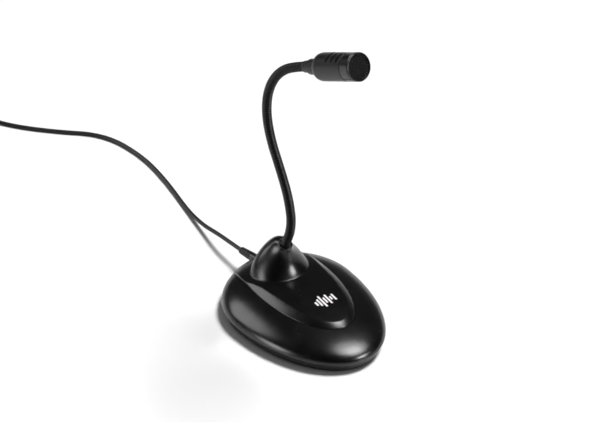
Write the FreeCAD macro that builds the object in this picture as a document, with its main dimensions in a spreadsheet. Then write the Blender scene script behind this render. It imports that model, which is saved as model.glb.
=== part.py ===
import FreeCAD, Part
import math
import os
import re

import Sketcher
from FreeCAD import Placement, Rotation, Vector

# Desktop gooseneck microphone. Millimetres, +Z up, -Y to the front. The origin is the middle of
# the footprint of the base, on the desk.

SIZES = {
    # base: an egg in plan, made of two half ellipses that meet at its widest line
    "base_half_width": 50.0, "base_front": 83.0, "base_rear": 50.7,
    "rim_height": 8.0, "ring_rise": 18.8, "deck_step": 3.2, "wall": 2.2,
    "plate_bottom": 1.5, "plate_inset": 2.8, "plate_reveal": 0.4, "plate_floor": 2.0,
    # tongue-shaped deck let into the ring
    "seam_half_width": 29.0, "seam_front": 58.0, "seam_rear": 62.0, "seam_middle": 14.9,
    "seam_gap": 0.3, "skirt_lift": 4.0, "skirt_relief_back": 48.0,
    # the deck's flank, which rolls down to the seam as an arc
    "flank_edge": 23.6, "flank_nose_drop": 2.2, "flank_radius": 27.5, "flank_slope": 42.0,
    # tower on the deck, which leans with the neck
    "tower_foot_height": 20.0, "tower_front_reach": 35.7, "tower_front_drop": 30.5,
    "tower_rear_foot": 49.1, "tower_half_width": 22.4, "tower_waist": 2.8, "tower_widest": 0.64,
    "tower_rim": 4.95, "neck_hole_back": 25.1, "neck_hole_height": 51.5, "neck_lean": 22.0,
    "neck_turn": 8.0, "neck_hole_radius": 4.4, "neck_hole_depth": 10.0, "shelf_thick": 2.5,
    "shelf_hole_radius": 3.1, "neck_boss_radius": 7.0,
    # fasteners
    "screw_radius": 1.3, "screw_head_radius": 2.6, "screw_head": 1.4, "post_radius": 3.2,
    "screw_slack": 0.03, "base_screw_reach": 8.5, "driver_slot_length": 4.0,
    "driver_slot_width": 0.6, "driver_slot_depth": 0.8, "driver_slot_floor": 0.7,
    # feet
    "pad_radius": 6.0, "pad_thick": 2.0, "pad_recess": 0.5,
    # ballast
    "ballast_half_width": 25.0, "ballast_front": 31.0, "ballast_back": 33.0, "ballast_thick": 6.0,
    "ballast_corner": 8.0,
    # gooseneck: lengths of a curved tube with a ball and cup between neighbours
    "neck_radius": 3.3, "neck_bore": 1.5, "ball_radius": 3.35, "cup_radius": 3.65, "neck_pitch": 22.7,
    "neck_foot": 9.0, "neck_foot_below": 8.0, "neck_tip_run": 15.8, "neck_lead_radius": 0.9,
    "lead_setback": 3.8,
    # bend of each length at rest, degrees, forward counted as positive
    "neck_bend_a": -27.0, "neck_bend_b": -13.0, "neck_bend_c": -3.0, "neck_bend_d": 13.0,
    "neck_bend_e": 20.0, "neck_bend_f": 22.0, "neck_bend_g": 24.0, "neck_bend_tip": 7.0,
    # sleeve, washer and nut at the foot of the neck
    "sleeve_radius": 4.2, "sleeve_recess": 1.5, "stud_radius": 3.0, "stud_length": 12.0,
    "lead_radius": 1.2, "washer_radius": 6.0, "washer_thick": 1.0, "nut_flats": 10.0,
    "nut_thick": 4.0,
    # head, measured along its own axis from the back of the collar
    "head_length": 56.0, "head_radius": 9.5, "head_wall": 1.2, "collar_step": 6.0,
    "collar_end": 15.0, "collar_neck_radius": 4.0, "collar_radius": 5.3, "shoulder_end": 20.5,
    "head_rim_radius": 6.2, "front_ring_start": 46.7, "ring_bevel": 0.35, "grille_thick": 0.8,
    "grille_hole_radius": 0.8, "grille_hole_pitch": 2.45,
    "slot_width": 1.8, "slot_pitch": 5.2, "slot_last": 42.0, "slot_half_angle": 47.0,
    "tip_sleeve_radius": 3.9, "tip_nut_flats": 11.0,
    "capsule_radius": 4.85, "capsule_length": 6.5, "capsule_front": 52.0, "boot_length": 8.0,
    # lead: 3 mm round, leaving at the back
    "cord_radius": 1.5, "gland_back": 61.0, "gland_end": 78.0, "gland_height": 14.4,
    "gland_dip": 9.0, "gland_radius": 3.3, "gland_flange": 10.0, "gland_seat": 8.5,
    "gland_counterbore": 3.5, "gland_collar": 2.4,
    # bar that clamps the lead inside the base, with its two screws
    "clamp_back": 45.5, "clamp_side": 5.0, "clamp_length": 16.0, "clamp_width": 3.0,
    "clamp_thick": 1.8, "clamp_screw_radius": 0.8, "clamp_screw_length": 5.0,
    "clamp_head_radius": 1.5,
    # coil of the put-away lead and its plug
    "coil_x": -70.0, "coil_y": 345.0, "coil_radius": 18.0, "coil_layers": 4.0, "coil_rows": 3.0,
    "grip_radius": 4.2, "grip_length": 21.0, "boot_radius": 2.7, "tail_boot": 11.0,
    "jack_radius": 1.75, "jack_sleeve": 8.0, "jack_band": 0.7, "jack_ring": 1.7, "jack_core": 0.6,
}

RING_POSTS = [(37.0, 27.0), (-37.0, 27.0), (29.0, -34.0), (-29.0, -34.0)]
DECK_POSTS = [(0.0, -37.0), (16.0, 46.0), (-16.0, 46.0)]
BALLAST_SCREWS = [(18.0, -23.0), (-18.0, -23.0), (18.0, 25.0), (-18.0, 25.0)]
FEET = [(19.0, -44.0), (-19.0, -44.0), (29.0, 38.0), (-29.0, 38.0)]
BENDS = ["a", "b", "c", "d", "e", "f", "g"]

# The lead's route from the gland to the coil: it droops to the desk and wanders along it.
CORD_ROUTE = [
    (0.0, 78.0, 14.4), (0.0, 91.5, 13.2), (0.8, 108.0, 10.9), (3.0, 130.0, 4.9),
    (7.0, 156.0, 1.5), (15.0, 192.0, 1.5), (20.0, 233.0, 1.5), (13.0, 274.0, 1.5),
    (-15.0, 300.0, 1.5), (-38.0, 327.0, 1.5), (-49.0, 350.0, 1.5),
]
# The short end from the top of the coil down to the plug.
TAIL_ROUTE = [
    (-91.0, 352.0, 10.5), (-92.5, 340.0, 10.0), (-95.5, 327.0, 7.0), (-98.5, 314.0, 4.25),
    (-100.5, 303.0, 4.25),
]

doc = FreeCAD.newDocument("desk_microphone")
sheet = doc.addObject("Spreadsheet::Sheet", "Sizes")
for row, (alias, number) in enumerate(SIZES.items(), start=1):
    sheet.set(f"A{row}", alias)
    sheet.set(f"B{row}", repr(number))
    sheet.setAlias(f"B{row}", alias)
doc.recompute()
nodes = []


def size(alias):
    """A number from the sheet."""
    return float(getattr(sheet, alias))


def formula(text):
    """A formula in the sheet's words, as FreeCAD reads it."""
    return re.sub(r"[a-z]+_[a-z_]+|wall", lambda word: "Sizes." + word.group(0), text)


def moved(x=0.0, y=0.0, z=0.0, axis=(0, 0, 1), angle=0.0):
    return Placement(Vector(x, y, z), Rotation(Vector(*axis), angle))


def primitive(kind, place=None, **sizes):
    """One of Part's own solids, with its sizes bound to the sheet."""
    item = doc.addObject("Part::" + kind, kind.lower())
    for prop, text in sizes.items():
        item.setExpression(prop, formula(text))
    item.Placement = place or Placement()
    return item


def fuse(*items):
    item = doc.addObject("Part::MultiFuse", "fuse")
    item.Shapes = list(items)
    return item


def common(*items):
    item = doc.addObject("Part::MultiCommon", "common")
    item.Shapes = list(items)
    return item


def cut(base, *tools):
    item = doc.addObject("Part::Cut", "cut")
    item.Base = base
    item.Tool = tools[0] if len(tools) == 1 else fuse(*tools)
    return item


def feature(shape, place=None):
    """A solid made with Part's functions, from sizes read off the sheet."""
    item = doc.addObject("Part::Feature", "made")
    item.Shape = shape
    if place:
        item.Placement = place
    return item


def node(item, label):
    """Name a finished sub-part, which is also the name of its file."""
    item.Label = label
    nodes.append(item)
    return item


def group_node(solids, label):
    """Several separate solids of one kind as one sub-part."""
    group = doc.addObject("Part::Compound", label + "_group")
    group.Links = solids
    return node(group, label)


def plane(body, role):
    return next(o for o in body.Origin.OriginFeatures if o.Role == role)


def sketch_on(body, role, name):
    sketch = body.newObject("Sketcher::SketchObject", name)
    sketch.AttachmentSupport = [(plane(body, role), "")]
    sketch.MapMode = "FlatFace"
    return sketch


def pin_vertex(sketch, edge, across, up):
    """Hold the start of an edge at two formulas, measured from the sketch's origin."""
    for kind, text, axis in (("DistanceX", across, -2), ("DistanceY", up, -1)):
        if text == "0":
            sketch.addConstraint(Sketcher.Constraint("PointOnObject", edge, 1, axis))
            continue
        start = sketch.Geometry[edge].StartPoint
        now = start.x if kind == "DistanceX" else start.y
        index = sketch.addConstraint(Sketcher.Constraint(kind, -1, 1, edge, 1, now))
        sketch.setExpression(f"Constraints[{index}]", formula(text))


def number(text):
    """The value of a formula in the sheet's words."""
    return float(sheet.evalExpression(formula(text)))


def turned(label, profile, place=None):
    """A body of revolution about its own Z, from a closed list of (radius, height) formulas."""
    body = doc.addObject("PartDesign::Body", label + "_body")
    sketch = sketch_on(body, "XZ_Plane", label + "_profile")
    spots = [Vector(number(r), number(z), 0) for r, z in profile]
    count = len(spots)
    for i in range(count):
        sketch.addGeometry(Part.LineSegment(spots[i], spots[(i + 1) % count]), False)
    for i in range(count):
        sketch.addConstraint(Sketcher.Constraint("Coincident", i, 2, (i + 1) % count, 1))
    for i, (r, z) in enumerate(profile):
        pin_vertex(sketch, i, r, z)
    turn = body.newObject("PartDesign::Revolution", label + "_turn")
    turn.Profile = sketch
    turn.ReferenceAxis = (sketch, ["V_Axis"])
    turn.Angle = 360
    body.Placement = place or Placement()
    return body


def half_ellipse(centre, side, reach):
    """The edge from centre + side, through centre + reach, to centre - side."""
    curve = Part.BSplineCurve()
    poles = [centre + side, centre + side + reach, centre + reach,
             centre - side + reach, centre - side]
    corner = math.sqrt(0.5)
    weights = [1, corner, 1, corner, 1]
    curve.buildFromPolesMultsKnots(poles, [3, 2, 3], [0, 0.5, 1], False, 2, weights)
    return curve.toShape()


def egg(half_width, front, rear, middle, height, tilt=0.0):
    """A closed egg: two half ellipses that share their width, in a plane tilted to the front."""
    centre = Vector(0, middle, height)
    side = Vector(half_width, 0, 0)
    back = Vector(0, math.cos(tilt), math.sin(tilt))
    return Part.Wire([half_ellipse(centre, side, back * -front),
                      half_ellipse(centre, side * -1, back * rear)])


def base_egg(inset, height):
    return egg(size("base_half_width") - inset, size("base_front") - inset,
               size("base_rear") - inset, widest, height)


def seam_prism(inset, low, high):
    """The column under the deck's outline."""
    outline = [egg(size("seam_half_width") - inset, size("seam_front") - inset,
                   size("seam_rear") - inset, size("seam_middle"), z) for z in (low, high)]
    return feature(Part.makeLoft(outline, True, True))


def half_egg(inset, middle, foot, rise, half_width, front, rear):
    """Half an egg on its side: two quarter ellipsoids on a level plane."""
    quarters = []
    for reach, angle in ((front, 180), (rear, 0)):
        quarters.append(primitive(
            "Ellipsoid", moved(y=middle, z=number(foot), angle=angle),
            Radius1=f"{rise} - {inset}", Radius2=f"{half_width} - {inset}",
            Radius3=f"{reach} - {inset}", Angle1="0", Angle2="90", Angle3="180"))
    return fuse(*quarters)


def dome(inset, rise):
    return half_egg(inset, widest, "rim_height", rise, "base_half_width", "base_front", "base_rear")


def crown(inset):
    """All that lies under the deck's flank: an arc rolls down to the seam, lower at the nose."""
    radius, slope = size("flank_radius"), math.radians(size("flank_slope"))
    pitch = math.atan2(size("flank_nose_drop"), size("seam_front"))
    centre, edge = size("seam_middle"), size("flank_edge")
    sections = []
    for turn in range(50, 5, -6):
        now = math.radians(turn)
        inward = radius * math.sin(slope) - (radius - inset) * math.sin(now)
        height = edge + (radius - inset) * math.cos(now) - radius * math.cos(slope)
        sections.append(egg(size("seam_half_width") - inward, size("seam_front") - inward,
                            size("seam_rear") - inward, centre, height, pitch))
    # A block below the flank's edge, its top just inside the loft's lowest section.
    lowest = edge - radius * (math.cos(slope) - math.cos(math.radians(50)))
    top = lowest + 0.1 - inset * math.cos(math.radians(50))
    under = moved(y=centre, z=top, axis=(1, 0, 0), angle=math.degrees(pitch))
    low = primitive("Box", under * moved(-over, -over * 2, -over), Length=f"{over * 2}",
                    Width=f"{over * 4}", Height=f"{over}")
    return fuse(feature(Part.makeLoft(sections, True, False)), low)


widest = (size("base_front") - size("base_rear")) / 2
rim = size("rim_height")
wall = size("wall")
over = 60.0

# Places along the neck's own axis at its foot, counted up from the hole in the tower.
lean = math.radians(size("neck_lean"))
neck_axis = Vector(0, -math.sin(lean), math.cos(lean))
hole_centre = Vector(0, size("neck_hole_back"), size("neck_hole_height"))
neck_frame = Placement(hole_centre, Rotation(neck_axis, size("neck_turn")))
foot_turn = Rotation(Vector(1, 0, 0), size("neck_lean"))


def on_neck(along):
    """The frame at a distance along the neck's foot, with Z up the neck."""
    return Placement(hole_centre + neck_axis * along, foot_turn)


def tower_solid(inset, first, last):
    """Loft of tilted eggs from the deck up to the rim round the neck."""
    rim_reach = size("tower_rim")
    toward_front = Vector(0, -math.cos(lean), -math.sin(lean))
    front_top = hole_centre + toward_front * rim_reach
    rear_top = hole_centre - toward_front * rim_reach
    foot = size("tower_foot_height")
    sections = []
    steps = 6
    for i in range(first, last + 1):
        turn = math.radians(90.0 * i / steps)
        front_z = foot + (front_top.z - foot) * math.sin(turn)
        rear_z = foot + (rear_top.z - foot) * math.sin(turn)
        drop = (front_top.z - front_z) / size("tower_front_drop")
        front_y = front_top.y - size("tower_front_reach") * (1 - math.sqrt(1 - drop ** 2))
        rear_y = rear_top.y + (size("tower_rear_foot") - rear_top.y) * math.cos(turn)
        half = rim_reach + (size("tower_half_width") - rim_reach) * math.cos(turn) ** size("tower_waist")
        share = size("tower_widest") + (0.5 - size("tower_widest")) * (i / steps) ** 4
        length = math.hypot(rear_y - front_y, rear_z - front_z)
        tilt = math.atan2(rear_z - front_z, rear_y - front_y)
        sections.append(egg(
            half - inset, length * share - inset, length * (1 - share) - inset,
            front_y + (rear_y - front_y) * share, front_z + (rear_z - front_z) * share, tilt))
    return Part.makeLoft(sections, True, False)


def make_bottom_plate():
    """Tray that closes the base: a drafted wall, a floor, and seats for feet and screws."""
    low, floor = size("plate_bottom"), size("plate_bottom") + size("plate_floor")
    outer = Part.makeLoft([base_egg(size("plate_inset"), low),
                           base_egg(size("plate_reveal"), rim)], True, True)
    inner = Part.makeLoft([base_egg(size("plate_inset") + wall, floor),
                           base_egg(size("plate_reveal") + wall, rim + 0.5)], True, True)
    tray = cut(feature(outer), feature(inner))
    through = posts(RING_POSTS + DECK_POSTS, "screw_radius + 0.15", "plate_bottom - 1",
                    "plate_bottom + plate_floor + 1")
    heads = posts(RING_POSTS + DECK_POSTS, "screw_head_radius + 0.25", "plate_bottom - 1",
                  "plate_bottom + 1")
    pilots = posts(BALLAST_SCREWS, "screw_radius + screw_slack", "plate_bottom + 0.5",
                   "plate_bottom + plate_floor + 1")
    seats = posts(FEET, "pad_radius + 0.2", "plate_bottom - 1", "plate_bottom + pad_recess")
    return node(cut(tray, through, heads, pilots, seats), "bottom_plate")


def posts(places, radius, low, high):
    """Upright round posts or holes at the given places."""
    return fuse(*[primitive("Cylinder", moved(x, y, number(low)), Radius=radius,
                            Height=f"{high} - ({low})") for x, y in places])


def pilot_holes(places):
    return posts(places, "screw_radius + screw_slack", "rim_height - 6", "rim_height + base_screw_reach")


def make_base_cover():
    """The ring of the base: a domed shell, open where the deck lies, with its screw posts."""
    shell = cut(dome("0", "ring_rise"), dome("wall", "ring_rise"))
    middle = common(dome("wall / 2", "ring_rise"),
                    posts(RING_POSTS, "post_radius", "rim_height", "rim_height + ring_rise"))
    stems = posts(RING_POSTS, "post_radius", "plate_bottom + plate_floor + 0.1", "rim_height + 0.1")
    opening = seam_prism(-size("seam_gap") / 2, 0, over)
    return node(cut(fuse(shell, middle, stems), opening, pilot_holes(RING_POSTS)), "base_cover")


def make_deck_cover():
    """The tongue-shaped deck and the tower that holds the neck, one moulding."""
    gap = size("seam_gap") / 2
    rise = "ring_rise + deck_step"
    deck = common(common(dome("0", rise), seam_prism(gap, rim, over)), crown(0))
    tower = feature(tower_solid(0.0, 0, 6))
    hollow = common(common(dome("wall", rise), seam_prism(gap + wall, rim - 1, over)), crown(wall))
    tower_hollow = feature(tower_solid(wall, 0, 4))
    skirt_relief = common(dome("wall", rise), primitive(
        "Box", moved(-over, -over, rim - 1), Length=f"{over * 2}",
        Width=f"{over} + skirt_relief_back", Height="skirt_lift + 1"))
    boss = common(feature(tower_solid(0.0, 0, 6)),
                  primitive("Cylinder", on_neck(-size("neck_hole_depth") - size("shelf_thick")),
                            Radius="neck_boss_radius", Height="neck_hole_depth + shelf_thick"))
    stems = posts(DECK_POSTS, "post_radius", "plate_bottom + plate_floor + 0.1", "rim_height + 0.1")
    pillars = common(dome("wall / 2", rise), crown(wall / 2),
                     posts(DECK_POSTS, "post_radius", "rim_height", "rim_height + ring_rise"))
    clamp_posts = common(dome("wall / 2", rise), fuse(*[
        primitive("Cylinder", moved(x, y, clamp_top), Radius="post_radius - 1", Height="8")
        for x, y in CLAMP_SCREWS]))
    gland_seat = common(dome("0", rise), primitive(
        "Cylinder", gland_frame(-size("gland_seat")), Radius="gland_radius + gland_collar",
        Height="gland_seat + 9"))
    solid = fuse(cut(fuse(deck, tower), hollow, tower_hollow, skirt_relief), boss, stems, pillars,
                 clamp_posts, gland_seat)
    neck_hole = primitive("Cylinder", on_neck(-size("neck_hole_depth")),
                          Radius="neck_hole_radius", Height="neck_hole_depth + 10")
    shelf_hole = primitive("Cylinder", on_neck(-30.0), Radius="shelf_hole_radius", Height="30")
    under_shelf = primitive("Cylinder", on_neck(-25.0), Radius="washer_radius + 1",
                            Height="25 - neck_hole_depth - shelf_thick")
    gland_hole = fuse(
        primitive("Cylinder", gland_frame(-20.0), Radius="gland_radius - 0.6", Height="40"),
        primitive("Cylinder", gland_frame(-size("gland_counterbore")),
                  Radius="gland_radius + 0.04", Height="20"),
        primitive("Cylinder", gland_frame(-size("gland_flange") - 3), Radius="gland_radius + 1.1",
                  Height="gland_flange + 3 - gland_seat"))
    clamp_pilots = posts(CLAMP_SCREWS, "clamp_screw_radius + screw_slack", f"{clamp_top} - 1",
                         f"{clamp_top} + 4")
    return node(cut(solid, neck_hole, shelf_hole, under_shelf, gland_hole, clamp_pilots,
                    pilot_holes(DECK_POSTS)), "deck_cover")


# The gland's axis: through the back of the deck, dipping to the desk.
dip = math.radians(size("gland_dip"))
gland_axis = Vector(0, math.cos(dip), -math.sin(dip))
gland_mouth = Vector(0, size("gland_end"), size("gland_height"))
gland_run = (size("gland_end") - size("gland_back")) / math.cos(dip)
clamp_rise = (size("gland_end") - size("clamp_back")) * math.tan(dip)
clamp_top = round(gland_mouth.z + clamp_rise - size("lead_radius") - 0.05, 4)
CLAMP_SCREWS = [(side * size("clamp_side"), size("clamp_back")) for side in (-1, 1)]


def gland_frame(along):
    """A frame on the gland's axis, Z outward, counted from where it leaves the deck."""
    spot = gland_mouth + gland_axis * (along - gland_run)
    return Placement(spot, Rotation(Vector(0, 0, 1), gland_axis))


def make_feet():
    for count, (x, y) in enumerate(FEET, start=1):
        node(turned(f"rubber_foot_{count}", [
            ("0", "0"), ("pad_radius - 0.6", "0"), ("pad_radius", "0.6"),
            ("pad_radius", "pad_thick - 0.02"), ("0", "pad_thick - 0.02")], moved(x, y)),
            f"rubber_foot_{count}")


def screws(label, places, seat, reach, up):
    """Pan-head screws as one group: the head's underside at seat, the shank going up or down."""
    depth, floor = size("driver_slot_depth"), size("driver_slot_floor")
    flip, slot_low = (0, -floor - depth) if up else (180, floor)
    made = []
    for x, y in places:
        shank = primitive("Cylinder", moved(x, y, seat, (1, 0, 0), flip), Radius="screw_radius",
                          Height=reach)
        head = primitive("Cone", moved(x, y, seat, (1, 0, 0), 180 - flip),
                         Radius1="screw_head_radius", Radius2="screw_head_radius * 0.72",
                         Height="screw_head")
        corner = moved(x - size("driver_slot_length") / 2, y - size("driver_slot_width") / 2,
                       seat + slot_low)
        slot = primitive("Box", corner, Length="driver_slot_length", Width="driver_slot_width",
                         Height="driver_slot_depth")
        made.append(cut(fuse(shank, head), slot))
    return group_node(made, label)


def make_ballast():
    floor = number("plate_bottom + plate_floor")
    block = primitive("Box", moved(-size("ballast_half_width"), -size("ballast_front"), floor),
                      Length="ballast_half_width * 2", Width="ballast_front + ballast_back",
                      Height="ballast_thick")
    doc.recompute()
    rounded = doc.addObject("Part::Fillet", "fillet")
    rounded.Base = block
    corners = [i for i, edge in enumerate(block.Shape.Edges, start=1)
               if abs(edge.tangentAt(edge.FirstParameter).z) > 0.9]
    rounded.Edges = [(i, size("ballast_corner"), size("ballast_corner")) for i in corners]
    holes = posts(BALLAST_SCREWS, "screw_radius + 0.15", "plate_bottom", "rim_height + 5")
    node(cut(rounded, holes), "ballast_weight")
    screws("ballast_screws", BALLAST_SCREWS, floor + size("ballast_thick"),
           "ballast_thick + 1.2", up=False)


def make_base_screws():
    seat = number("plate_bottom + 1")
    screws("ring_screws", RING_POSTS, seat, "base_screw_reach + 2.5", up=True)
    screws("deck_screws", DECK_POSTS, seat, "base_screw_reach + 2.5", up=True)


def make_neck_fixing():
    """The sleeve crimped on the neck's foot, with the washer and nut that hold it to the shelf."""
    cup = "stud_length + neck_hole_depth - neck_foot_below"
    top = "stud_length + neck_hole_depth - sleeve_recess"
    node(turned("neck_sleeve", [
        ("lead_radius + 0.05", "0"), ("stud_radius", "0"), ("stud_radius", "stud_length"),
        ("sleeve_radius", "stud_length"), ("sleeve_radius", top), ("neck_radius + 0.02", top),
        ("neck_radius + 0.02", cup), ("lead_radius + 0.05", cup)],
        on_neck(-number("neck_hole_depth + stud_length"))), "neck_sleeve")
    under = number("neck_hole_depth + shelf_thick")
    node(turned("neck_washer", [
        ("stud_radius + 0.03", "0"), ("washer_radius", "0"), ("washer_radius", "washer_thick"),
        ("stud_radius + 0.03", "washer_thick")],
        on_neck(-under - size("washer_thick"))), "neck_washer")
    node(hex_nut("nut_flats", "nut_thick", "stud_radius + 0.02",
                 on_neck(-under - number("washer_thick + nut_thick"))), "neck_nut")


def hex_nut(flats, thick, bore, place):
    body = primitive("Prism", place, Circumradius=f"{flats} / 2 / cos(30)", Height=thick)
    body.Polygon = 6
    return cut(body, primitive("Cylinder", place, Radius=bore, Height=thick))


def bend_step(bend, run):
    """From the start of a curved length to its end, in the frame of its start."""
    angle = math.radians(bend)
    radius = run / angle
    return Placement(Vector(0, -radius * (1 - math.cos(angle)), radius * math.sin(angle)),
                     Rotation(Vector(1, 0, 0), bend))


def bent_tube(place, bend, run, radius, skip=0.0):
    """A curved round bar bound to the sheet: bend and run name their cells."""
    degrees, length = size(bend), size(run)
    ring = length / math.radians(abs(degrees))
    over_ring = Rotation(Vector(1, 1, 1), 120)
    flip = Placement(Vector(), Rotation(Vector(0, 0, 1), 0 if degrees > 0 else 180))
    lead_in = Placement(Vector(), Rotation(Vector(0, 0, 1), math.degrees(skip / ring)))
    return primitive("Torus",
                     place * flip * Placement(Vector(0, -ring, 0), over_ring) * lead_in,
                     Radius1=f"{run} * 180 / pi / abs({bend})", Radius2=radius,
                     Angle3=f"abs({bend}) * (1 - 2 * {skip} / {run})")


def neck_length(label, place, bend):
    """One length of the gooseneck, from the cup at its own pivot to the ball at the next."""
    end = place * bend_step(size(bend), size("neck_pitch"))
    body = fuse(bent_tube(place, bend, "neck_pitch", "neck_radius"),
                primitive("Sphere", end, Radius="ball_radius"))
    bore = bent_tube(place, bend, "neck_pitch", "neck_bore")
    mouth = primitive("Cylinder", end, Radius="neck_bore + 0.2", Height="neck_radius + 1")
    cup = primitive("Sphere", place, Radius="cup_radius")
    node(cut(body, bore, mouth, cup), label)
    return end


def make_neck():
    """The gooseneck, foot to tip, and the lead inside it. Returns the frame of the head."""
    foot = neck_frame * Placement(Vector(), foot_turn)
    low = -size("neck_foot_below")
    pivot = foot * moved(z=size("neck_foot"))
    straight = fuse(primitive("Cylinder", foot * moved(z=low), Radius="neck_radius",
                              Height="neck_foot + neck_foot_below"),
                    primitive("Sphere", pivot, Radius="neck_radius"))
    node(cut(straight, primitive("Cylinder", foot * moved(z=low - 1), Radius="neck_bore",
                                 Height="neck_foot + neck_foot_below + 6")), "neck_foot")
    for count, letter in enumerate(BENDS, start=1):
        bend = "neck_bend_" + letter
        node(bent_tube(pivot, bend, "neck_pitch", "neck_lead_radius", skip=size("lead_setback")),
             f"neck_lead_{count}")
        pivot = neck_length(f"neck_length_{count}", pivot, bend)
    head = pivot * bend_step(size("neck_bend_tip"), size("neck_tip_run"))
    tip = fuse(bent_tube(pivot, "neck_bend_tip", "neck_tip_run", "neck_radius"),
               primitive("Cylinder", head, Radius="neck_radius", Height="collar_end - 0.1"))
    node(cut(tip, bent_tube(pivot, "neck_bend_tip", "neck_tip_run", "neck_bore"),
             primitive("Cylinder", head, Radius="neck_bore + 0.1", Height="collar_end"),
             primitive("Sphere", pivot, Radius="cup_radius")), "neck_tip")
    return head


def make_head_shell(head):
    """Collar, fixing, slotted housing, front ring and grille, along the head's own axis."""
    inside = "tip_sleeve_radius + 0.1"
    node(turned("head_collar", [
        ("neck_radius + 0.05", "0"), ("collar_neck_radius - 0.3", "0"),
        ("collar_neck_radius", "0.6"), ("collar_neck_radius", "collar_step"),
        ("collar_radius - 0.7", "collar_step"), ("collar_radius", "collar_step + 0.9"),
        ("collar_radius", "collar_end"), (inside, "collar_end"), (inside, "collar_step + 1"),
        ("neck_radius + 0.05", "collar_step + 1")], head), "head_collar")
    node(turned("tip_sleeve", [
        ("neck_radius + 0.02", "collar_step + 1.05"), ("tip_sleeve_radius", "collar_step + 1.05"),
        ("tip_sleeve_radius", "shoulder_end + 1"), ("neck_bore - 0.2", "shoulder_end + 1"),
        ("neck_bore - 0.2", "collar_end + 0.5"), ("neck_radius + 0.02", "collar_end + 0.5")],
        head), "tip_sleeve")
    back = "collar_end + 2.4"
    housing = turned("head_housing", [
        (inside, "collar_end"), ("head_rim_radius", "collar_end"),
        ("head_rim_radius", "collar_end + 1"), ("head_radius - 1.4", "collar_end + 2"),
        ("head_radius - 0.4", "collar_end + 3.6"), ("head_radius", "shoulder_end"),
        ("head_radius", "front_ring_start - ring_bevel"),
        ("head_radius - ring_bevel", "front_ring_start"),
        ("head_radius - head_wall", "front_ring_start"),
        ("head_radius - head_wall", "shoulder_end + 0.4"), ("head_radius - 2.5", back),
        (inside, back)], head)
    slots = [primitive("Cylinder",
                       head * moved(z=size("slot_last") - i * size("slot_pitch"),
                                    angle=90 - size("slot_half_angle")),
                       Radius="head_radius + 2", Height="slot_width",
                       Angle="slot_half_angle * 2") for i in range(3)]
    node(cut(housing, *slots), "head_housing")
    node(turned("head_washer", [
        (inside, back), ("tip_nut_flats / 2 + 0.9", back), ("tip_nut_flats / 2 + 0.9", back + " + 0.6"),
        (inside, back + " + 0.6")], head), "head_washer")
    node(hex_nut("tip_nut_flats", "3", "tip_sleeve_radius + 0.02",
                 head * moved(z=number(back + " + 0.6"))), "head_nut")
    bore, seat = "head_radius - 1.5", "head_length - grille_thick * 2"
    node(turned("front_ring", [
        ("head_radius - 1.9", "front_ring_start - 2.2"),
        ("head_radius - head_wall - 0.05", "front_ring_start - 2.2"),
        ("head_radius - head_wall - 0.05", "front_ring_start + 0.1"),
        ("head_radius - ring_bevel", "front_ring_start + 0.1"),
        ("head_radius", "front_ring_start + 0.1 + ring_bevel"), ("head_radius", "head_length - 1.7"),
        ("head_radius - 0.4", "head_length - 1.5"), ("head_radius - 0.4", "head_length - 1.1"),
        ("head_radius", "head_length - 0.9"), ("head_radius", "head_length - 0.3"),
        ("head_radius - 0.3", "head_length"), ("head_radius - 0.75", "head_length"),
        ("head_radius - 0.75", seat), (bore, seat), (bore, "front_ring_start + 0.8"),
        ("head_radius - 1.9", "front_ring_start + 0.8")], head), "front_ring")
    disc = primitive("Cylinder", head * moved(z=number(seat) + 0.02),
                     Radius="head_radius - 0.78", Height="grille_thick")
    holes = []
    for ring, count in enumerate((1, 6, 12, 18)):
        for i in range(count):
            holes.append(primitive(
                "Cylinder", head * moved(z=number(seat) - 1, angle=360 * i / count)
                * moved(x=size("grille_hole_pitch") * ring), Radius="grille_hole_radius",
                Height="grille_thick + 2"))
    node(cut(disc, *holes), "grille")


def make_head_inside(head):
    """Foam, felt, capsule, its board and rubber boot, and the lead to the neck."""
    front, back = "capsule_front", "capsule_front - capsule_length"

    def disc(label, radius, low, high):
        node(turned(label, [("0", low), (radius, low), (radius, high), ("0", high)], head), label)

    disc("foam_disc", "head_radius - 1.55", "capsule_front + 0.4",
         "head_length - grille_thick * 2 - 0.02")
    disc("capsule_felt", "capsule_radius - 0.35", "capsule_front + 0.02", "capsule_front + 0.38")
    disc("microphone_capsule", "capsule_radius", back, front)
    disc("capsule_board", "capsule_radius - 1.35", back + " - 1.2", back + " - 0.02")
    node(turned("capsule_boot", [
        ("capsule_radius - 1.25", "capsule_front - boot_length"),
        ("head_radius - 1.95", "capsule_front - boot_length"), ("head_radius - 1.95", front),
        ("capsule_radius + 0.02", front), ("capsule_radius + 0.02", back),
        ("capsule_radius - 1.25", back)], head), "capsule_boot")
    disc("head_lead", "neck_lead_radius", "1", back + " - 1.25")


def rounded_route(points):
    """Straight runs joined by tangent arcs, each as large as its two runs allow."""
    spots = [Vector(*p) for p in points]
    edges, radii, start = [], [], spots[0]
    for before, corner, after in zip(spots, spots[1:], spots[2:]):
        inward, outward = (corner - before), (after - corner)
        reach = 0.45 * min(inward.Length, outward.Length)
        inward.normalize()
        outward.normalize()
        half = inward.getAngle(outward) / 2
        radii.append(reach / math.tan(half))
        first, last = corner - inward * reach, corner + outward * reach
        toward = (outward - inward).normalize()
        centre_gap = math.hypot(reach, radii[-1])
        middle = corner + toward * (centre_gap - radii[-1])
        edges += [Part.LineSegment(start, first).toShape(), Part.Arc(first, middle, last).toShape()]
        start = last
    edges.append(Part.LineSegment(start, spots[-1]).toShape())
    return Part.Wire(edges), radii


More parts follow.
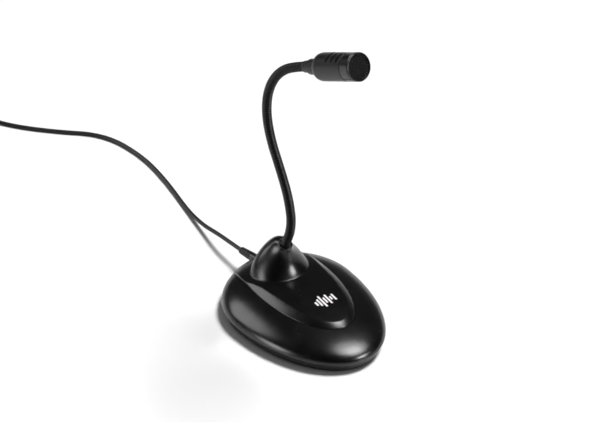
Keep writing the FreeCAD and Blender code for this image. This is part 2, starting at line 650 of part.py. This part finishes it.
def tube(label, points, radius):
    """A round tube along a rounded route, as a plain solid."""
    path, radii = rounded_route(points)
    heading = Vector(*points[1]) - Vector(*points[0])
    section = Part.Wire([Part.makeCircle(radius, Vector(*points[0]), heading)])
    solid = path.makePipeShell([section], True, False)
    expected = math.pi * radius ** 2 * path.Length
    print(label, "radii", [round(r, 1) for r in radii], "length", round(path.Length, 1),
          "volume ratio", round(solid.Volume / expected, 4))
    return node(feature(solid), label)


def make_lead_inside():
    """The lead from the neck's stud to the gland, its clamp bar and the clamp's screws."""
    start, bend = on_neck(-20.0).Base, on_neck(-28.0).Base
    joins = gland_mouth - gland_axis * (gland_mouth.y - 41.5)
    end = gland_mouth - gland_axis * 0.5
    tube("base_lead", [tuple(start), tuple(bend), tuple(joins), tuple(end)], size("lead_radius"))
    seat = clamp_top - size("clamp_thick")
    corner = moved(-size("clamp_length") / 2, size("clamp_back") - size("clamp_width") / 2, seat)
    bar = primitive("Box", corner, Length="clamp_length", Width="clamp_width",
                    Height="clamp_thick")
    holes = posts(CLAMP_SCREWS, "clamp_screw_radius + 0.05", f"{seat} - 1", f"{clamp_top} + 1")
    node(cut(bar, holes), "cord_clamp")
    made = []
    for x, y in CLAMP_SCREWS:
        shank = primitive("Cylinder", moved(x, y, seat), Radius="clamp_screw_radius",
                          Height="clamp_screw_length")
        head = primitive("Cylinder", moved(x, y, seat - 1), Radius="clamp_head_radius", Height="1")
        made.append(fuse(shank, head))
    group_node(made, "clamp_screws")


def make_strain_relief():
    """Ribbed rubber bush that leads the cord out of the back of the deck."""
    run = gland_run + size("gland_flange")
    bore, waist = "lead_radius + 0.05", "gland_radius - 0.62"
    seat, mouth = "gland_flange - gland_seat", "gland_flange - gland_counterbore"
    profile = [(bore, "0"), ("gland_radius + 1", "0"), ("gland_radius + 1", seat), (waist, seat),
               (waist, mouth), ("gland_radius", mouth)]
    ribs, rib, groove = 5, 1.5, 1.1
    first = run - ribs * (rib + groove)
    for i in range(ribs):
        low = round(first + i * (rib + groove), 3)
        taper = round(0.13 * i, 3)
        profile += [(f"gland_radius - {taper}", str(low)),
                    (f"gland_radius - 0.9 - {taper}", str(low + 0.1)),
                    (f"gland_radius - 0.9 - {taper}", str(round(low + groove, 3))),
                    (f"gland_radius - 0.1 - {taper}", str(round(low + groove + 0.1, 3)))]
    profile += [("gland_radius - 0.7", str(round(run, 3))), (bore, str(round(run, 3)))]
    node(turned("strain_relief", profile, gland_frame(-size("gland_flange"))), "strain_relief")


def make_cord():
    """The free lead: its laid stretch, the coil of the rest, the tail and the plug."""
    tube("cord", CORD_ROUTE, size("cord_radius"))
    half = "cord_radius * coil_rows"
    high = "cord_radius * 2 * coil_layers"
    inner, outer = f"coil_radius - {half}", f"coil_radius + {half}"
    node(turned("cord_coil", [
        (inner, "1"), (f"{inner} + 1", "0"), (f"{outer} - 1", "0"), (outer, "1"),
        (outer, f"{high} - 1"), (f"{outer} - 1", high), (f"{inner} + 1", high),
        (inner, f"{high} - 1")], moved(size("coil_x"), size("coil_y"))), "cord_coil")
    tube("cord_tail", TAIL_ROUTE, size("cord_radius"))
    make_plug()


def make_plug():
    """3.5 mm jack: moulded grip with its own strain relief, sleeve, ring, tip and insulators."""
    end, before = Vector(*TAIL_ROUTE[-1]), Vector(*TAIL_ROUTE[-2])
    place = Placement(end, Rotation(Vector(0, 0, 1), end - before))
    face = "tail_boot + grip_length"
    node(turned("plug_grip", [
        ("0", "0"), ("boot_radius - 0.4", "0"), ("boot_radius + 0.5", "tail_boot"),
        ("grip_radius - 0.5", "tail_boot"), ("grip_radius", "tail_boot + 1"),
        ("grip_radius", f"{face} - 1.5"), ("grip_radius - 0.8", face), ("0", face)], place),
        "plug_grip")

    def barrel(label, low, high):
        return turned(label, [
            ("jack_core", f"{face} + {low}"), ("jack_radius", f"{face} + {low}"),
            ("jack_radius", f"{face} + {high}"), ("jack_core", f"{face} + {high}")], place)

    ring_low = "jack_sleeve + jack_band"
    ring_high = ring_low + " + jack_ring"
    tip = ring_high + " + jack_band"
    node(barrel("plug_sleeve", "0", "jack_sleeve"), "plug_sleeve")
    node(barrel("plug_ring", ring_low, ring_high), "plug_ring")
    group_node([barrel("insulator_a", "jack_sleeve", ring_low),
                barrel("insulator_b", ring_high, tip)], "plug_insulators")
    node(turned("plug_tip", [
        ("jack_core", f"{face} + {tip}"), ("jack_radius - 0.35", f"{face} + {tip}"),
        ("jack_radius", f"{face} + {tip} + 1.2"), ("jack_radius - 0.6", f"{face} + {tip} + 1.9"),
        ("jack_radius - 0.1", f"{face} + {tip} + 2.5"), ("0.4", f"{face} + {tip} + 4.2"),
        ("0", f"{face} + {tip} + 4.2"), ("0", f"{face} + 0.02"),
        ("jack_core - 0.02", f"{face} + 0.02"), ("jack_core - 0.02", f"{face} + {tip}")], place),
        "plug_tip")


def main():
    make_bottom_plate()
    make_base_cover()
    make_deck_cover()
    make_feet()
    make_ballast()
    make_base_screws()
    make_neck_fixing()
    make_strain_relief()
    make_lead_inside()
    head = make_neck()
    make_head_shell(head)
    make_head_inside(head)
    make_cord()
    doc.recompute()
    faulty = [o.Name for o in doc.Objects if {"Invalid", "Error"} & set(o.State)]
    faulty += [n.Label for n in nodes if n.Shape.isNull() or not n.Shape.isValid()]
    if faulty:
        raise SystemExit(f"these did not build: {faulty}")
    os.makedirs("parts", exist_ok=True)
    for item in nodes:
        item.Shape.exportStep(f"parts/{item.Label}.step")
    print(len(nodes), "sub-parts written")


main()
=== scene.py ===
"""Looks of a desktop gooseneck microphone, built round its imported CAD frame. Metres, +Z up, front -Y."""
import bmesh
import bpy
import math

from mathutils import Matrix, Vector
from mathutils.bvhtree import BVHTree


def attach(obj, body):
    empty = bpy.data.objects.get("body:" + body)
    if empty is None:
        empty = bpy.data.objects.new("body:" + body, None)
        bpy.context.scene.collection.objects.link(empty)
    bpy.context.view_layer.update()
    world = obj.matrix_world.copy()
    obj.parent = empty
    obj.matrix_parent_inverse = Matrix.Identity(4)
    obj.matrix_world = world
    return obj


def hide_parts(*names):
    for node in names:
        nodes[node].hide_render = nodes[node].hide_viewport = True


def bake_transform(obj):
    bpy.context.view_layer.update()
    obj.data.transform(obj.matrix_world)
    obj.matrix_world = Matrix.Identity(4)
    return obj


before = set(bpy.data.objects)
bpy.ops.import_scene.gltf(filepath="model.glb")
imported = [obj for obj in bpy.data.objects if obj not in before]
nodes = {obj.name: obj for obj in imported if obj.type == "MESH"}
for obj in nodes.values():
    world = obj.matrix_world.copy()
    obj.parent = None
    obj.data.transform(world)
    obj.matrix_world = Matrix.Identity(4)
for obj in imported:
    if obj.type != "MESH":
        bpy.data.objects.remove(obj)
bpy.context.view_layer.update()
MM = 0.001

# ---------------------------------------------------------------- camera
AIM = Vector((-0.7, 7.5, 89.8)) * MM
AZIMUTH, ELEVATION = math.radians(-36.6), math.radians(35.7)
DISTANCE, LENS = 2.0, 176.5


def direction(azimuth, elevation):
    """Unit vector from the object to a camera or light at these angles. Azimuth 0 is the front."""
    flat = math.cos(elevation)
    return Vector((math.sin(azimuth) * flat, -math.cos(azimuth) * flat, math.sin(elevation)))


def make_camera():
    data = bpy.data.cameras.new("camera")
    data.lens, data.sensor_width = LENS, 36.0
    data.clip_start, data.clip_end = 0.05, 40.0
    camera = bpy.data.objects.new("camera", data)
    toward = direction(AZIMUTH, ELEVATION)
    camera.location = AIM + toward * DISTANCE
    camera.rotation_euler = toward.to_track_quat("Z", "Y").to_euler()
    bpy.context.scene.collection.objects.link(camera)
    bpy.context.scene.camera = camera


make_camera()


# ---------------------------------------------------------------- cord
CORD_RADIUS = 1.5 * MM
CORD_ROUTE = [
    (0.0, 78.0, 14.4), (0.0, 91.5, 13.2), (0.8, 108.0, 10.9), (3.0, 130.0, 4.9),
    (7.0, 156.0, 1.5), (15.0, 192.0, 1.5), (20.0, 233.0, 1.5), (13.0, 274.0, 1.5),
    (-15.0, 300.0, 1.5), (-38.0, 327.0, 1.5), (-49.0, 350.0, 1.5),
]
TAIL_ROUTE = [
    (-91.0, 352.0, 10.5), (-92.5, 340.0, 10.0), (-95.5, 327.0, 7.0), (-98.5, 314.0, 4.25),
    (-100.5, 303.0, 4.25),
]
COIL_CENTRE = (-70.0, 345.0)
COIL_ROWS = (21.0, 18.0, 15.0)
COIL_LAYERS = 4
COIL_START, COIL_END = 31.4, 3750.0
COIL_STEP = 18.0
LAYER_RISE = 3.0
SHIFT, LAYER_TURN, FIRST_SHIFT = 60.0, 960.0, 300.0


def smooth_step(value):
    value = min(max(value, 0.0), 1.0)
    return value * value * (3 - 2 * value)


def coil_place(turned):
    """Radius and height of the coil, in mm, after this many degrees of winding."""
    radius, height = COIL_ROWS[0], CORD_ROUTE[-1][2]
    for layer in range(COIL_LAYERS):
        rows = COIL_ROWS if layer % 2 == 0 else COIL_ROWS[::-1]
        for i, (before, after) in enumerate(zip(rows, rows[1:])):
            start = LAYER_TURN * layer + FIRST_SHIFT + 360.0 * i
            radius += (after - before) * smooth_step((turned - start) / SHIFT)
        if layer + 1 < COIL_LAYERS:
            height += LAYER_RISE * smooth_step((turned - LAYER_TURN * (layer + 1)) / SHIFT)
    return radius, height


def coil_points():
    """The turns of the put-away length: rows side by side, layers on each other."""
    outward = 1 / math.cos(math.radians(COIL_STEP / 2))
    points, turned = [], COIL_START
    while turned < COIL_END:
        radius, height = coil_place(turned)
        angle = math.radians(turned)
        points.append((COIL_CENTRE[0] + radius * outward * math.cos(angle),
                       COIL_CENTRE[1] + radius * outward * math.sin(angle), height))
        turned += COIL_STEP
    return points


def make_cord():
    points = CORD_ROUTE + coil_points() + TAIL_ROUTE
    curve = bpy.data.curves.new("lead", "CURVE")
    curve.dimensions = "3D"
    spline = curve.splines.new("NURBS")
    spline.points.add(len(points) - 1)
    for point, place in zip(spline.points, points):
        point.co = (*(Vector(place) * MM), 1.0)
    spline.order_u = 3
    spline.use_endpoint_u = True
    spline.resolution_u = 6
    curve.bevel_depth, curve.bevel_resolution = CORD_RADIUS, 5
    curve.use_fill_caps = True
    cord = bpy.data.objects.new("lead", curve)
    bpy.context.scene.collection.objects.link(cord)
    curve.materials.append(cord_black())
    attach(cord, "base")
    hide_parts("cord", "cord_coil", "cord_tail")
    return cord


# ---------------------------------------------------------------- materials
def shader(name, colour, roughness, specular=0.5, metallic=0.0):
    """A Principled material with its own nodes. Returns the material, its tree and its shader."""
    made = bpy.data.materials.new(name)
    made.use_nodes = True
    tree = made.node_tree
    surface = tree.nodes["Principled BSDF"]
    surface.inputs["Base Color"].default_value = (*colour, 1.0)
    surface.inputs["Roughness"].default_value = roughness
    surface.inputs["Specular IOR Level"].default_value = specular
    surface.inputs["Metallic"].default_value = metallic
    return made, tree, surface


def noise(tree, size, detail=2.0, stretch=(1, 1, 1)):
    """Noise whose features measure about size, fixed to the object."""
    place = tree.nodes.new("ShaderNodeTexCoord")
    scale = tree.nodes.new("ShaderNodeMapping")
    scale.inputs["Scale"].default_value = stretch
    field = tree.nodes.new("ShaderNodeTexNoise")
    field.inputs["Scale"].default_value = 1 / size
    field.inputs["Detail"].default_value = detail
    tree.links.new(place.outputs["Object"], scale.inputs["Vector"])
    tree.links.new(scale.outputs["Vector"], field.inputs["Vector"])
    return field.outputs["Fac"]


def spread(tree, value, low, high, start=0.3, stop=0.7):
    """Map a noise value to a range."""
    ramp = tree.nodes.new("ShaderNodeMapRange")
    ramp.inputs["From Min"].default_value = start
    ramp.inputs["From Max"].default_value = stop
    ramp.inputs["To Min"].default_value = low
    ramp.inputs["To Max"].default_value = high
    tree.links.new(value, ramp.inputs["Value"])
    return ramp.outputs["Result"]


def tint(tree, surface, value, first, second):
    """Let a value run the base colour from one tint to another."""
    mix = tree.nodes.new("ShaderNodeMix")
    mix.data_type = "RGBA"
    mix.inputs["A"].default_value = (*first, 1.0)
    mix.inputs["B"].default_value = (*second, 1.0)
    tree.links.new(value, mix.inputs["Factor"])
    tree.links.new(mix.outputs["Result"], surface.inputs["Base Color"])


def relief(tree, surface, value, depth, edge=0.0):
    """Bump of this depth, over edges rounded by edge."""
    bump = tree.nodes.new("ShaderNodeBump")
    bump.inputs["Strength"].default_value = 1.0
    bump.inputs["Distance"].default_value = depth
    tree.links.new(value, bump.inputs["Height"])
    if edge:
        rounded = tree.nodes.new("ShaderNodeBevel")
        rounded.samples = 6
        rounded.inputs["Radius"].default_value = edge
        tree.links.new(rounded.outputs["Normal"], bump.inputs["Normal"])
    tree.links.new(bump.outputs["Normal"], surface.inputs["Normal"])


def moulded(name, colour, roughness, edge=0.35 * MM, depth=0.003 * MM, specular=0.5):
    """Injection-moulded plastic: fine spark grain, slow changes of gloss and of depth of colour."""
    made, tree, surface = shader(name, colour, roughness, specular)
    gloss = spread(tree, noise(tree, 14 * MM, 3.0), roughness - 0.03, roughness + 0.03)
    tree.links.new(gloss, surface.inputs["Roughness"])
    lighter = tuple(c * 1.8 + 0.0002 for c in colour)
    tint(tree, surface, spread(tree, noise(tree, 6 * MM, 4.0), 0.0, 1.0), colour, lighter)
    relief(tree, surface, noise(tree, 0.35 * MM, 1.0), depth, edge)
    return made


def remember(make):
    """Make each material once."""
    kept = []

    def once():
        if not kept:
            kept.append(make())
        return kept[0]
    return once


@remember
def shell_black():
    return moulded("satin_black_plastic", (0.0008, 0.0008, 0.0009), 0.25)


@remember
def deck_black():
    return moulded("satin_black_deck", (0.0008, 0.0008, 0.0009), 0.25, edge=1.5 * MM)


@remember
def ring_black():
    return moulded("head_ring_plastic", (0.0012, 0.0012, 0.0013), 0.24, edge=0.5 * MM)


@remember
def plate_black():
    return moulded("plain_black_plastic", (0.0035, 0.004, 0.003), 0.42, depth=0.008 * MM)


@remember
def head_black():
    return moulded("head_black_plastic", (0.0012, 0.0012, 0.0013), 0.34, edge=0.2 * MM, specular=0.34)


@remember
def neck_black():
    made, tree, surface = shader("neck_black_vinyl", (0.0015, 0.0014, 0.0013), 0.3, specular=0.22)
    gloss = spread(tree, noise(tree, 5 * MM, 3.0), 0.25, 0.36)
    tree.links.new(gloss, surface.inputs["Roughness"])
    relief(tree, surface, noise(tree, 0.3 * MM, 2.0), 0.008 * MM)
    return made


@remember
def mesh_black():
    made, tree, surface = shader("black_wire", (0.004, 0.0035, 0.0035), 0.36, specular=0.25)
    tint(tree, surface, spread(tree, noise(tree, 1.2 * MM, 2.0), 0.0, 1.0),
         (0.001, 0.001, 0.001), (0.004, 0.0035, 0.0035))
    return made


@remember
def rubber_black():
    made, tree, surface = shader("black_rubber", (0.004, 0.004, 0.004), 0.34, specular=0.5)
    tint(tree, surface, spread(tree, noise(tree, 2 * MM, 4.0), 0.0, 1.0),
         (0.003, 0.003, 0.003), (0.007, 0.007, 0.0065))
    relief(tree, surface, noise(tree, 0.25 * MM, 3.0), 0.012 * MM, edge=0.15 * MM)
    return made


@remember
def cord_black():
    made, tree, surface = shader("black_vinyl_lead", (0.003, 0.003, 0.003), 0.42, specular=0.4)
    gloss = spread(tree, noise(tree, 3 * MM, 3.0), 0.38, 0.52)
    tree.links.new(gloss, surface.inputs["Roughness"])
    relief(tree, surface, noise(tree, 0.4 * MM, 2.0), 0.01 * MM)
    return made


def metal(name, colour, roughness, stretch=(1, 1, 1), depth=0.004 * MM):
    made, tree, surface = shader(name, colour, roughness, metallic=1.0)
    gloss = spread(tree, noise(tree, 2 * MM, 4.0), roughness - 0.08, roughness + 0.1)
    tree.links.new(gloss, surface.inputs["Roughness"])
    darker = tuple(c * 0.72 for c in colour)
    tint(tree, surface, spread(tree, noise(tree, 4 * MM, 3.0), 0.0, 1.0), darker, colour)
    relief(tree, surface, noise(tree, 0.4 * MM, 3.0, stretch), depth, edge=0.12 * MM)
    return made


@remember
def zinc_steel():
    return metal("zinc_plated_steel", (0.62, 0.64, 0.66), 0.34)


@remember
def sleeve_black():
    return metal("blackened_steel", (0.02, 0.02, 0.021), 0.42)


@remember
def plug_gold():
    return metal("gold_plate", (0.86, 0.62, 0.27), 0.22, stretch=(1, 1, 8), depth=0.002 * MM)


@remember
def capsule_metal():
    return metal("capsule_aluminium", (0.78, 0.78, 0.79), 0.3)


@remember
def board_green():
    made, tree, surface = shader("board_green", (0.01, 0.09, 0.035), 0.35)
    tint(tree, surface, spread(tree, noise(tree, 1.2 * MM, 0.0), 0.0, 1.0, 0.48, 0.52),
         (0.006, 0.055, 0.022), (0.02, 0.13, 0.05))
    relief(tree, surface, noise(tree, 0.8 * MM, 1.0), 0.02 * MM)
    return made


def fibrous(name, dark, light, size, depth):
    """Felt or foam: matt, with a coarse open surface."""
    made, tree, surface = shader(name, dark, 0.95, specular=0.1)
    field = noise(tree, size, 6.0)
    tint(tree, surface, spread(tree, field, 0.0, 1.0), dark, light)
    relief(tree, surface, field, depth)
    surface.inputs["Sheen Weight"].default_value = 0.3
    return made


@remember
def felt_black():
    return fibrous("black_felt", (0.006, 0.006, 0.007), (0.025, 0.025, 0.027), 0.5 * MM, 0.15 * MM)


@remember
def mark_white():
    made, tree, surface = shader("printed_white", (0.8, 0.8, 0.8), 0.5)
    tint(tree, surface, spread(tree, noise(tree, 0.8 * MM, 3.0), 0.0, 1.0),
         (0.70, 0.71, 0.72), (0.86, 0.86, 0.86))
    relief(tree, surface, noise(tree, 0.2 * MM, 2.0), 0.006 * MM)
    return made


FINISHES = {
    "shell_black": shell_black, "head_black": head_black, "neck_black": neck_black,
    "mesh_black": mesh_black, "rubber_black": rubber_black, "cord_black": cord_black,
    "zinc_steel": zinc_steel, "capsule_metal": capsule_metal, "board_green": board_green,
    "felt_black": felt_black, "plug_gold": plug_gold,
}
OWN_FINISH = {
    "bottom_plate": plate_black, "deck_cover": deck_black, "front_ring": ring_black,
    "neck_sleeve": sleeve_black,
}


def finish_nodes():
    """Every carried-over CAD node gets the finish of its slot."""
    for name, node in nodes.items():
        for slot in node.material_slots:
            slot.material = OWN_FINISH.get(name, FINISHES[slot.material.name.split(".")[0]])()


# ---------------------------------------------------------------- mesh helper
def ring_skin(name, rows, material):
    """A smooth skin over rows of points, each row a ring, closed at both ends by a sharp face."""
    verts, faces = [], []
    count = len(rows[0])
    last = (len(rows) - 1) * count
    for row in rows:
        verts += [tuple(p) for p in row]
    for start in range(0, last, count):
        for j in range(count):
            k = (j + 1) % count
            faces.append((start + j, start + k, start + count + k, start + count + j))
    faces.append(tuple(range(count))[::-1])
    faces.append(tuple(last + j for j in range(count)))
    mesh = bpy.data.meshes.new(name)
    mesh.from_pydata(verts, [], faces)
    mesh.update()
    made = bpy.data.objects.new(name, mesh)
    bpy.context.scene.collection.objects.link(made)
    mesh.materials.append(material)
    mesh.shade_smooth()
    for edge in mesh.edges:
        a, b = edge.vertices
        if (a < count and b < count) or (a >= last and b >= last):
            edge.use_edge_sharp = True
    return made


# ---------------------------------------------------------------- gooseneck
NECK_HOLE = Vector((0, 25.1, 51.5)) * MM
NECK_LEAN, NECK_TURN = math.radians(22.0), math.radians(8.0)
FOOT_RUN, PITCH_RUN, TIP_RUN = 9.0 * MM, 22.7 * MM, 15.8 * MM
BENDS = [math.radians(b) for b in (-27, -13, -3, 13, 20, 22, 24)]
TIP_BEND = math.radians(7.0)
RIDGE_PITCH, RIDGE_CREST, RIDGE_DEPTH = 1.7 * MM, 3.35 * MM, 0.95 * MM
NECK_BORE_FIT, FIT_TAPER = 0.1 * MM, 1.2 * MM
CRIMP_DEPTH, COLLAR_GAP = 1.4 * MM, 0.1 * MM
RINGS_PER_RIDGE, AROUND = 8, 28
NECK_START, NECK_INTO_COLLAR = -7.9 * MM, 14.0 * MM


def bend_step(bend, run):
    radius = run / bend
    shift = Matrix.Translation((0, -radius * (1 - math.cos(bend)), radius * math.sin(bend)))
    return shift @ Matrix.Rotation(bend, 4, "X")


def neck_runs():
    """(start along the neck, its length, its bend, the frame at its start), foot to collar."""
    axis = Vector((0, -math.sin(NECK_LEAN), math.cos(NECK_LEAN)))
    place = (Matrix.Translation(NECK_HOLE) @ Matrix.Rotation(NECK_TURN, 4, axis)
             @ Matrix.Rotation(NECK_LEAN, 4, "X"))
    runs = [(0.0, FOOT_RUN, 0.0, place)]
    place = place @ Matrix.Translation((0, 0, FOOT_RUN))
    along = FOOT_RUN
    for run, bend in [(PITCH_RUN, b) for b in BENDS] + [(TIP_RUN, TIP_BEND)]:
        runs.append((along, run, bend, place))
        place = place @ bend_step(bend, run)
        along += run
    runs.append((along, NECK_INTO_COLLAR, 0.0, place))
    return runs


RUNS = neck_runs()


def neck_place(along):
    """The frame on the neck's centre line at a distance from the hole in the tower."""
    start, run, bend, place = [r for r in RUNS if r[0] <= max(along, 0.0)][-1]
    into = along - start
    if bend == 0.0:
        return place @ Matrix.Translation((0, 0, into))
    return place @ bend_step(bend * into / run, into) if into > 1e-9 else place


def neck_ring(along):
    """One ring of the sleeve's helix, a little slimmer where the crimp and the collar grip it."""
    place = neck_place(along)
    free = min(along + CRIMP_DEPTH, RUNS[-1][0] - COLLAR_GAP - along) / FIT_TAPER
    crest = RIDGE_CREST - NECK_BORE_FIT * (1 - min(max(free, 0.0), 1.0))
    ring = []
    for j in range(AROUND):
        angle = 2 * math.pi * j / AROUND
        phase = (along / RIDGE_PITCH - j / AROUND) % 1.0
        bulge = math.sqrt(max(0.0, 1 - (2 * phase - 1) ** 2))
        radius = crest - RIDGE_DEPTH * (1 - bulge)
        ring.append(place @ Vector((radius * math.cos(angle), radius * math.sin(angle), 0)))
    return ring


def make_neck():
    """Eight ridged lengths of sleeve, each following the curved centre line across one pivot and meeting
    at mid-length.
    """
    pivots = [r[0] for r in RUNS[1:-1]]
    last = RUNS[-1][0] + NECK_INTO_COLLAR
    ends = [NECK_START] + [p + PITCH_RUN / 2 for p in pivots[:-1]] + [last]
    step = RIDGE_PITCH / RINGS_PER_RIDGE
    for i, pivot in enumerate(pivots):
        count = round((ends[i + 1] - ends[i]) / step)
        rows = [neck_ring(ends[i] + (ends[i + 1] - ends[i]) * k / count) for k in range(count + 1)]
        piece = ring_skin(f"neck_sleeve_{i + 1}", rows, neck_black())
        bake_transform(piece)
        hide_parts("neck_foot" if i == 0 else f"neck_length_{i}")
        if i == len(pivots) - 1:
            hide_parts("neck_tip")


# ---------------------------------------------------------------- grille
WIRE_RADIUS, WIRE_PITCH = 0.24 * MM, 1.6 * MM
STEPS_PER_CROSSING, WIRE_LIFT = 6, 1.05
GRILLE_RADIUS, GRILLE_ALONG, GRILLE_TURN = 8.65 * MM, 54.75 * MM, math.radians(45)


def wire_points(offset, across, place):
    """A wire of the weave: it goes over and under the wires that cross it."""
    half = math.sqrt(GRILLE_RADIUS ** 2 - offset ** 2)
    count = max(int(2 * half / WIRE_PITCH * STEPS_PER_CROSSING), STEPS_PER_CROSSING)
    side = 1 if round(offset / WIRE_PITCH - 0.5) % 2 else -1
    side *= 1 if across else -1
    points = []
    for i in range(count + 1):
        run = -half + 2 * half * i / count
        lift = side * WIRE_RADIUS * WIRE_LIFT * math.sin(math.pi * run / WIRE_PITCH)
        spot = (run, offset, lift) if across else (offset, run, lift)
        points.append(place @ Vector(spot))
    return points


def make_grille():
    """Fine black wire mesh stretched over the mouth of the head."""
    head = (RUNS[-1][3] @ Matrix.Translation((0, 0, GRILLE_ALONG))
            @ Matrix.Rotation(GRILLE_TURN, 4, "Z"))
    curve = bpy.data.curves.new("grille_wires", "CURVE")
    curve.dimensions = "3D"
    curve.bevel_depth, curve.bevel_resolution = WIRE_RADIUS, 1
    steps = int(GRILLE_RADIUS / WIRE_PITCH)
    for across in (True, False):
        for i in range(-steps, steps):
            points = wire_points((i + 0.5) * WIRE_PITCH, across, head)
            spline = curve.splines.new("POLY")
            spline.points.add(len(points) - 1)
            for point, place in zip(spline.points, points):
                point.co = (*place, 1.0)
            spline.use_smooth = True
    curve.use_fill_caps = True
    curve.materials.append(mesh_black())
    wires = bpy.data.objects.new("grille_wires", curve)
    bpy.context.scene.collection.objects.link(wires)
    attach(wires, "head")
    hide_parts("grille")


# ---------------------------------------------------------------- mark
MARK_CENTRE, MARK_SIZE = (2.0 * MM, -18.0 * MM), (17.0 * MM, 11.5 * MM)
MARK_BARS = (0.35, 0.62, 1.0, 0.5, 0.82, 0.3, 0.56)
MARK_THICK = 0.05 * MM
BAR_HALF_WIDTH = 0.29  # of the bars' pitch
BAR_STEPS = 12
ABOVE_DECK = 0.08


def make_mark():
    """A generic printed mark: a row of level bars, lying on the deck."""
    deck = nodes["deck_cover"]
    tree = BVHTree.FromObject(deck, bpy.context.evaluated_depsgraph_get())
    pitch = MARK_SIZE[0] / len(MARK_BARS)
    built = bmesh.new()
    for i, share in enumerate(MARK_BARS):
        middle = MARK_CENTRE[0] + pitch * (i - (len(MARK_BARS) - 1) / 2)
        half = MARK_SIZE[1] * share / 2
        wing = pitch * BAR_HALF_WIDTH
        rows = []
        for k in range(BAR_STEPS + 1):
            y = MARK_CENTRE[1] + half * (2 * k / BAR_STEPS - 1)
            row = []
            for x in (middle - wing, middle, middle + wing):
                hit, normal, _, _ = tree.ray_cast(Vector((x, y, ABOVE_DECK)), Vector((0, 0, -1)))
                row.append((hit + normal * MARK_THICK, hit - normal * MARK_THICK))
            rows.append(row)
        top = [[built.verts.new(p[0]) for p in row] for row in rows]
        low = [[built.verts.new(p[1]) for p in row] for row in rows]
        for a, b, c, d in ((top[k][j], top[k][j + 1], top[k + 1][j + 1], top[k + 1][j])
                           for k in range(BAR_STEPS) for j in range(2)):
            built.faces.new((a, b, c, d))
        for a, b, c, d in ((low[k][j], low[k + 1][j], low[k + 1][j + 1], low[k][j + 1])
                           for k in range(BAR_STEPS) for j in range(2)):
            built.faces.new((a, b, c, d))
        edge = ([(0, j) for j in range(2)] + [(k, 2) for k in range(BAR_STEPS)]
                + [(BAR_STEPS, 2 - j) for j in range(2)]
                + [(BAR_STEPS - k, 0) for k in range(BAR_STEPS)])
        for (k, j), (m, n) in zip(edge, edge[1:] + edge[:1]):
            built.faces.new((top[m][n], top[k][j], low[k][j], low[m][n]))
    mesh = bpy.data.meshes.new("level_mark")
    bmesh.ops.recalc_face_normals(built, faces=built.faces)
    built.to_mesh(mesh)
    built.free()
    mark = bpy.data.objects.new("level_mark", mesh)
    bpy.context.scene.collection.objects.link(mark)
    mesh.materials.append(mark_white())
    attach(mark, "base")


# ---------------------------------------------------------------- room
FLOOR_RADIUS = 12.0


def make_floor():
    mesh = bpy.data.meshes.new("floor")
    built = bmesh.new()
    bmesh.ops.create_circle(built, cap_ends=True, segments=96, radius=FLOOR_RADIUS)
    built.to_mesh(mesh)
    built.free()
    floor = bpy.data.objects.new("floor", mesh)
    bpy.context.scene.collection.objects.link(floor)
    made, tree, surface = shader("white_sweep", (0.9, 0.9, 0.9), 0.25, specular=0.3)
    tint(tree, surface, spread(tree, noise(tree, 300 * MM, 2.0), 0.0, 1.0),
         (0.89, 0.89, 0.89), (0.91, 0.91, 0.91))
    mesh.materials.append(made)


# Softboxes, seen only in reflections: azimuth, elevation, width of the disc in degrees, strength.
SOFTBOXES = {
    "key": (44, 66, 40, 3.0),
    "key_core": (42, 66, 22, 1.2),
    "front": (24, 24, 22, 2.1),
    "left": (-144, 34, 40, 1.45),
    "left_low": (-102, 9, 22, 0.85),
    "back": (130, 30, 90, 0.08),
}
# Room light, which falls on the floor and on matt surfaces only.
ROOM_LIGHTS = {"side": (84, 66, 18, 3.7), "over": (0, 89, 120, 0.5)}
WORLD_LEVEL = 0.02


def make_sun(name, azimuth, elevation, width, strength, in_gloss):
    data = bpy.data.lights.new(name, "SUN")
    data.angle, data.energy = math.radians(width), strength
    lamp = bpy.data.objects.new(name, data)
    toward = direction(math.radians(azimuth), math.radians(elevation))
    lamp.rotation_euler = toward.to_track_quat("Z", "Y").to_euler()
    lamp.visible_glossy, lamp.visible_diffuse = in_gloss, not in_gloss
    bpy.context.scene.collection.objects.link(lamp)


def make_lights():
    for name, numbers in SOFTBOXES.items():
        make_sun(name, *numbers, in_gloss=True)
    for name, numbers in ROOM_LIGHTS.items():
        make_sun(name, *numbers, in_gloss=False)
    world = bpy.data.worlds.new("studio")
    world.use_nodes = True
    world.node_tree.nodes["Background"].inputs["Color"].default_value = (1, 1, 1, 1)
    world.node_tree.nodes["Background"].inputs["Strength"].default_value = WORLD_LEVEL
    bpy.context.scene.world = world
    bpy.context.scene.view_settings.view_transform = "Standard"


make_cord()
finish_nodes()
make_neck()
make_grille()
make_mark()
make_floor()
make_lights()
